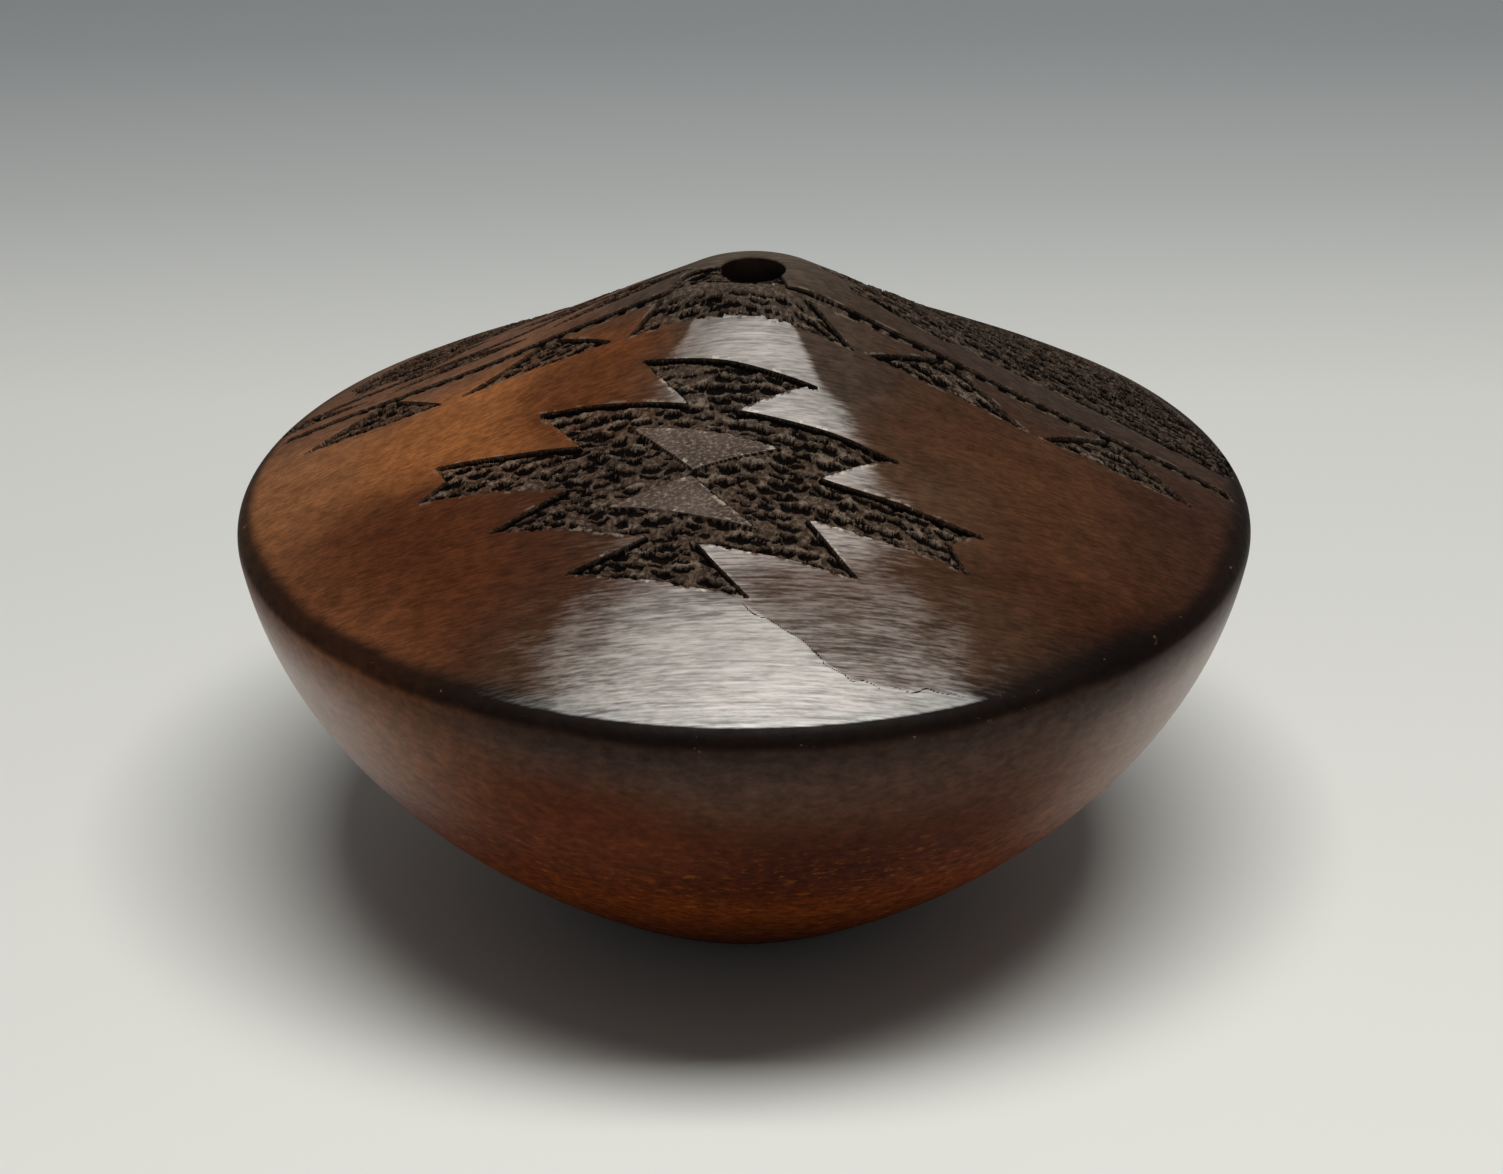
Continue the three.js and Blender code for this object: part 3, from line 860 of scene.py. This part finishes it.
def worked_skin_group():
    """What was done to the slipped top: matt islands, chipped edges that are paler clay with painted
    light where the polish is, a crack, the polish, keel dust.
    """
    marks = {name: ("Float", 0.0) for name in MARKS}
    wants = {"Place": ("Vector", None), "Edge on": ("Float", 0.0), **marks}
    outputs = {"Colour": "Color", "Roughness": "Float", "Coat": "Float", "Height": "Float"}
    tree, given, out = new_tree("Worked skin", "ShaderNodeTree", wants, outputs)
    place = given["Place"]
    feeds = {"Place": place, "Edge on": given["Edge on"]}
    skin = node(tree, "ShaderNodeGroup", feeds, node_tree=clay_skin).outputs
    matt = eased(tree, given["Island"], -0.2, 0.2)
    scratched = vectors(tree, "MULTIPLY", place, (0.8, 1.5, 1))
    speckle = eased(tree, cloudy(tree, scratched, 1500.0, 3.0, 0.7, 9.0), 0.46, 0.7)
    worn = eased(tree, cloudy(tree, place, 160.0, 2.0, 0.5, 13.0), 0.3, 0.7)
    dull = mix_colour(tree, worn, linear(60, 50, 46), linear(80, 68, 62))
    island_colour = mix_colour(tree, speckle, dull, linear(128, 115, 104))
    colour = mix_colour(tree, matt, skin["Colour"], island_colour)
    # The chips are paler clay, and painted highlight too: they show only on the polished front, where
    # the light catches them.
    torn = eased(tree, cloudy(tree, place, 300.0, 3.0, 0.65, 10.0), 0.54, 0.6)
    near_edge = eased(tree, given["Carve"], -0.8, -0.3)
    lit_chip = times(tree, torn, near_edge, eased(tree, given["Polish"], 0.0, 0.4, 0.2, 0.8))
    colour = mix_colour(tree, lit_chip, colour, linear(160, 148, 134))
    split = eased(tree, given["Crack"], 0.2, 0.08)
    colour = mix_colour(tree, split, colour, linear(26, 19, 16))
    height = along(tree, place, "Z")
    rim = times(tree, eased(tree, height, 79 * MM, 84 * MM), eased(tree, height, 90.5 * MM, 87 * MM))
    specks = eased(tree, cloudy(tree, place, 420.0, 3.0, 0.7, 7.0), 0.66, 0.72)
    colour = mix_colour(tree, times(tree, rim, specks, 0.4), colour, linear(130, 104, 80))
    roughness = node(tree, "ShaderNodeMix", {0: matt, 2: skin["Roughness"], 3: 0.6}).outputs[0]
    frayed = sums(tree, "MULTIPLY_ADD", sums(tree, "SUBTRACT", skin["Gloss"], 0.7), 0.3, given["Polish"])
    kept = eased(tree, frayed, 0.07, 0.63, 0.009, 0.655)
    unbroken = eased(tree, sums(tree, "MAXIMUM", matt, split), 1.0, 0.0)
    polished = times(tree, kept, skin["Gloss"], unbroken)
    tree.links.new(colour, out["Colour"])
    tree.links.new(roughness, out["Roughness"])
    tree.links.new(sums(tree, "MAXIMUM", polished, skin["Sheen"]), out["Coat"])
    tree.links.new(sums(tree, "MULTIPLY_ADD", split, -0.2, skin["Height"]), out["Height"])
    return tree


worked_skin = worked_skin_group()


def top_clay(name):
    """Burnished clay of the top, with the marks that carve() left on its points."""
    material, tree, place = clay(name)
    feeds = {"Place": place, "Edge on": edge_on(tree, place)}
    for mark in MARKS:
        feeds[mark] = node(tree, "ShaderNodeAttribute", attribute_name=mark.lower()).outputs["Fac"]
    done = node(tree, "ShaderNodeGroup", feeds, node_tree=worked_skin).outputs
    covered(tree, done["Colour"], done["Roughness"], done["Coat"], done["Height"])
    return material


ground_clay = carved_ground()


def carved_ring(name, outside, inside, surface):
    """A ring of the top: turned, carved, gouged, and leant with the rest of the top."""
    ring = turned(name, outside, inside, TOP_FACETS, surface)
    carve(ring, len(outside))
    formed(ring, gouged_ground, Clay=surface)
    mesh = ring.data
    mesh.materials.append(ground_clay)
    cuts = np.empty(len(mesh.vertices), np.float32)
    mesh.attributes["carve"].data.foreach_get("value", cuts)
    corners = np.empty(len(mesh.loops), np.int32)
    mesh.loops.foreach_get("vertex_index", corners)
    corners = corners.reshape(-1, 4)
    sunk = cuts[corners].mean(1) > 0.01
    across = len(mesh.vertices) // TOP_FACETS
    unseen = (corners % across >= len(outside) - 1).all(1)
    mesh.materials.append(unslipped_clay_in_painted_shade)
    mesh.polygons.foreach_set("material_index", np.where(unseen, 2, sunk).astype(np.int32))
    finished(ring)


keel_clay = top_clay("keel clay")
under_keel = at_share(bowl, np.linspace(bowl_seams[-1], 1, 7))
round_keel = at_share(keel_round, np.linspace(0, 1, 18))[1:]
over_keel = at_share(shoulder, np.linspace(0, shoulder_seams[0], 20))[1:]
keel_outside = np.concatenate([under_keel, round_keel, over_keel])
keel_low = inner_wall(bowl, bowl_seams[-1:])[0]
keel_high = inner_wall(shoulder, shoulder_seams[:1])[0]
keel_inside = at_share(rising([keel_high, (94.3, 80.6), keel_low]), np.linspace(0, 1, 7))
carved_ring("keel_coil_look", keel_outside, keel_inside, keel_clay)

# Shoulder coils: five ropes that close the jar in over the keel to the seed hole. When leather-hard,
# the figures are cut with a knife and their ground is sunk with a small gouge; the rest is burnished.
shoulder_clay = top_clay("shoulder clay")
for i in range(5):
    shares = np.linspace(shoulder_seams[i], shoulder_seams[i + 1], 55)
    outside = at_share(shoulder, shares)
    inside = inner_wall(shoulder, shares[::-18])
    carved_ring(f"shoulder_coil_{i + 1}_look", outside, inside, shoulder_clay)

# Mouth ring: the last small ring, smoothed over a finger into a soft lip round the seed hole. The
# carved ground of the front runs up to its edge.
mouth_clay = top_clay("mouth clay")
neck = at_share(shoulder, np.linspace(shoulder_seams[-1], 1, 6))
mouth_outside = np.concatenate([neck, at_share(lip, np.linspace(0, 1, 28))[1:]])
bore = JAR_HEIGHT - WALL
mouth_inside = [(HOLE_RADIUS, bore + 0.8), (HOLE_RADIUS + 0.4, bore), (HOLE_RADIUS + 1.2, bore - 0.4)]
mouth_inside.append(inner_wall(shoulder, shoulder_seams[-1:])[0])
carved_ring("mouth_ring_look", mouth_outside, mouth_inside, mouth_clay)

# Table top: a plain sheet of pale, matt paper that lies flat under the jar. Its colour is painted greyer
# towards the back, a painted fall-off of the light as in a small photo studio, and it is no part of the
# jar.
PAPER_REACH = 4.0
SHADE_REACH = 0.8
corners = [(x * PAPER_REACH, y * PAPER_REACH, 0) for x, y in ((-1, -1), (1, -1), (1, 1), (-1, 1))]
sheet_mesh = bpy.data.meshes.new("table top")
sheet_mesh.from_pydata(corners, [], [(0, 1, 2, 3)])
table_top = bpy.data.objects.new("table_top", sheet_mesh)
scene.collection.objects.link(table_top)
paper = bpy.data.materials.new("pale paper")
paper.use_nodes = True
tree = paper.node_tree
depth = along(tree, node(tree, "ShaderNodeTexCoord").outputs["Object"], "Y")
shade = node(tree, "ShaderNodeValToRGB", {0: sums(tree, "DIVIDE", depth, SHADE_REACH)})
shades = [
    (0.0, 0.77, 0.79, 0.78),
    (0.16, 0.78, 0.8, 0.795),
    (0.24, 0.8, 0.82, 0.81),
    (0.32, 0.7, 0.73, 0.74),
    (0.4, 0.585, 0.615, 0.635),
    (0.56, 0.415, 0.45, 0.485),
    (0.8, 0.345, 0.375, 0.415),
]
for stop in shades[2:]:
    shade.color_ramp.elements.new(stop[0] / SHADE_REACH)
for element, (where, *tint) in zip(shade.color_ramp.elements, shades):
    element.position = where / SHADE_REACH
    element.color = (*tint, 1)
matt_paper = tree.nodes["Principled BSDF"]
tree.links.new(shade.outputs[0], matt_paper.inputs["Base Color"])
matt_paper.inputs["Roughness"].default_value = 0.7
sheet_mesh.materials.append(paper)

# Studio light: one wide softbox overhead, a little in front of the jar, in a dim room. To the eye and
# in the gloss of the clay, the room is a pale warm grey.
LIGHT_HEIGHT = 1.25
LIGHT_GLOW = 17.3
DIM_ROOM = (0.078, 0.077, 0.077, 1)
PALE_ROOM = (0.46, 0.445, 0.41, 1)
overhead = bpy.data.lights.new("softbox", "AREA")
overhead.shape = "RECTANGLE"
overhead.size, overhead.size_y = 0.67 * LIGHT_HEIGHT, 0.28 * LIGHT_HEIGHT
overhead.color = (1.0, 0.975, 0.915)
overhead.energy = LIGHT_GLOW * math.pi * overhead.size * overhead.size_y
softbox = bpy.data.objects.new("softbox", overhead)
softbox.location = (0.08 * LIGHT_HEIGHT, -0.255 * LIGHT_HEIGHT, LIGHT_HEIGHT)
scene.collection.objects.link(softbox)
room = bpy.data.worlds.new("room")
room.use_nodes = True
tree = room.node_tree
seen = node(tree, "ShaderNodeLightPath").outputs
pale = sums(tree, "MAXIMUM", seen["Is Camera Ray"], seen["Is Glossy Ray"])
around = mix_colour(tree, pale, DIM_ROOM, PALE_ROOM)
tree.links.new(around, tree.nodes["Background"].inputs["Color"])
scene.world = room

# Camera: in front of the jar and above it, looking down on the carved top as the photograph does. Its
# place, its lens and the way it faces were fitted to the outline and the seed hole.
lens = bpy.data.cameras.new("camera")
lens.sensor_width = 36
lens.lens = 81.44
camera = bpy.data.objects.new("camera", lens)
right = Vector((0.99999099, -0.00353253, -0.00235462))
up = Vector((0.00369998, 0.45324054, 0.89138057))
back = Vector((-0.00208162, -0.89138125, 0.45324953))
facing = Matrix((right, up, back)).transposed().to_4x4()
camera.matrix_world = Matrix.Translation((0, -0.619108, 0.379495)) @ facing
scene.collection.objects.link(camera)
scene.camera = camera
scene.view_settings.view_transform = "Standard"
